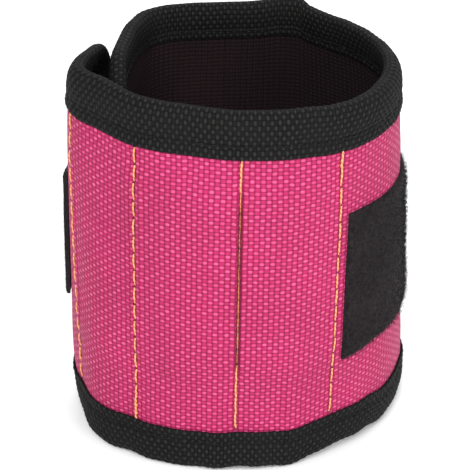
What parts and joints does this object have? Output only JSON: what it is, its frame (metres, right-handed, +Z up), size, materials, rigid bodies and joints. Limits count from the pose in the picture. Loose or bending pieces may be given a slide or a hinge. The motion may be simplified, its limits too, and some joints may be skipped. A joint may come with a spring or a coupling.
{
  "type": "magnetic pin wristband",
  "caption": "Fabric wristband that holds pins and small metal notions on magnets sewn into pockets, closed by a hook-and-loop tab.",
  "frame": {"origin": "centre of the bounding box on the surface that the lower edge stands on", "axes": "+Z up along the rolled strap's axis, the magnet pockets face -Y, +X to the right of the pockets"},
  "size_m": [0.0755, 0.0593, 0.085],
  "materials": {
    "cover": "coarse woven nylon, slight sheen",
    "lining": "ribbed black mesh, matt",
    "binding": "black woven tape, matt",
    "loop": "black loop pile, fuzzy",
    "hook": "black hook tape",
    "tray": "moulded plastic, satin",
    "magnet": "nickel plate, satin"
  },
  "bodies": {
    "pocket_2": {"binding_bottom_pocket_2": "binding", "binding_top_pocket_2": "binding", "cover_pocket_2": "cover", "lining_pocket_2": "lining", "magnet_2_1": "magnet", "magnet_2_2": "magnet", "magnet_tray_2": "tray"},
    "pocket_1": {"binding_bottom_pocket_1": "binding", "binding_top_pocket_1": "binding", "cover_pocket_1": "cover", "lining_pocket_1": "lining", "magnet_1_1": "magnet", "magnet_1_2": "magnet", "magnet_tray_1": "tray"},
    "end_a": {"binding_end_a": "binding", "cover_end_a": "cover", "lining_end_a": "lining", "tab_root": "hook"},
    "tab": {"closing_tab": "hook", "hook_field": "hook"},
    "pocket_3": {"binding_bottom_pocket_3": "binding", "binding_top_pocket_3": "binding", "cover_pocket_3": "cover", "lining_pocket_3": "lining", "magnet_3_1": "magnet", "magnet_3_2": "magnet", "magnet_tray_3": "tray"},
    "side_front": {"binding_bottom_side_front": "binding", "binding_top_side_front": "binding", "cover_side_front": "cover", "lining_side_front": "lining", "loop_patch_side_front": "loop"},
    "side_middle": {"binding_bottom_side_middle": "binding", "binding_top_side_middle": "binding", "cover_side_middle": "cover", "lining_side_middle": "lining", "loop_patch_side_middle": "loop"},
    "side_rear": {"binding_bottom_side_rear": "binding", "binding_top_side_rear": "binding", "cover_side_rear": "cover", "lining_side_rear": "lining", "loop_patch_side_rear": "loop"},
    "back": {"binding_bottom_back": "binding", "binding_top_back": "binding", "cover_back": "cover", "lining_back": "lining", "loop_patch_back": "loop"},
    "end_b": {"binding_end_b": "binding", "cover_end_b": "cover", "lining_end_b": "lining", "loop_patch_end_b": "loop"}
  },
  "joints": [
    {"name": "fold_seam_3", "type": "hinge", "parent": "pocket_2", "child": "pocket_3", "pos_m": [-0.00075, -0.02861, 0], "axis": [0, 0, -1], "range_deg": [0, 30]},
    {"name": "fold_seam_4", "type": "hinge", "parent": "pocket_3", "child": "side_front", "pos_m": [0.01934, -0.02259, 0], "axis": [0, 0.0002, -1], "range_deg": [0, 33]},
    {"name": "fold_side_crease", "type": "hinge", "parent": "side_front", "child": "side_middle", "pos_m": [0.03324, -0.00842, 0], "axis": [0.0207, -0.0005, -0.9998], "range_deg": [0, 39]},
    {"name": "fold_right_crease", "type": "hinge", "parent": "side_middle", "child": "side_rear", "pos_m": [0.03827, 0.00917, 0], "axis": [0.097, 0.024, -0.995], "range_deg": [0, 45]},
    {"name": "fold_back_crease", "type": "hinge", "parent": "side_rear", "child": "back", "pos_m": [0.01593, 0.02954, 0], "axis": [0.0383, 0.0143, -0.9992], "range_deg": [0, 51]},
    {"name": "fold_corner_crease", "type": "hinge", "parent": "back", "child": "end_b", "pos_m": [-0.02446, 0.02159, 0], "axis": [-0.0071, 0.0066, -1], "range_deg": [0, 66]},
    {"name": "fold_seam_2", "type": "hinge", "parent": "pocket_2", "child": "pocket_1", "pos_m": [-0.02195, -0.02355, 0], "axis": [0, 0, 1], "range_deg": [0, 33]},
    {"name": "fold_seam_1", "type": "hinge", "parent": "pocket_1", "child": "end_a", "pos_m": [-0.03611, -0.00902, 0], "axis": [0.0001, 0.0002, 1], "range_deg": [0, 51]},
    {"name": "tab_peel", "type": "hinge", "parent": "end_a", "child": "tab", "pos_m": [-0.03415, 0.01144, 0.043], "axis": [0.0488, 0.004, 0.9988], "range_deg": [0, 75]}
  ],
  "couplings": [
    {"joint": "fold_seam_4", "follows": "fold_seam_3", "ratio": 1.1},
    {"joint": "fold_side_crease", "follows": "fold_seam_3", "ratio": 1.3},
    {"joint": "fold_right_crease", "follows": "fold_seam_3", "ratio": 1.5},
    {"joint": "fold_back_crease", "follows": "fold_seam_3", "ratio": 1.7},
    {"joint": "fold_corner_crease", "follows": "fold_seam_3", "ratio": 2.2},
    {"joint": "fold_seam_2", "follows": "fold_seam_3", "ratio": 1.1},
    {"joint": "fold_seam_1", "follows": "fold_seam_3", "ratio": 1.7}
  ]
}
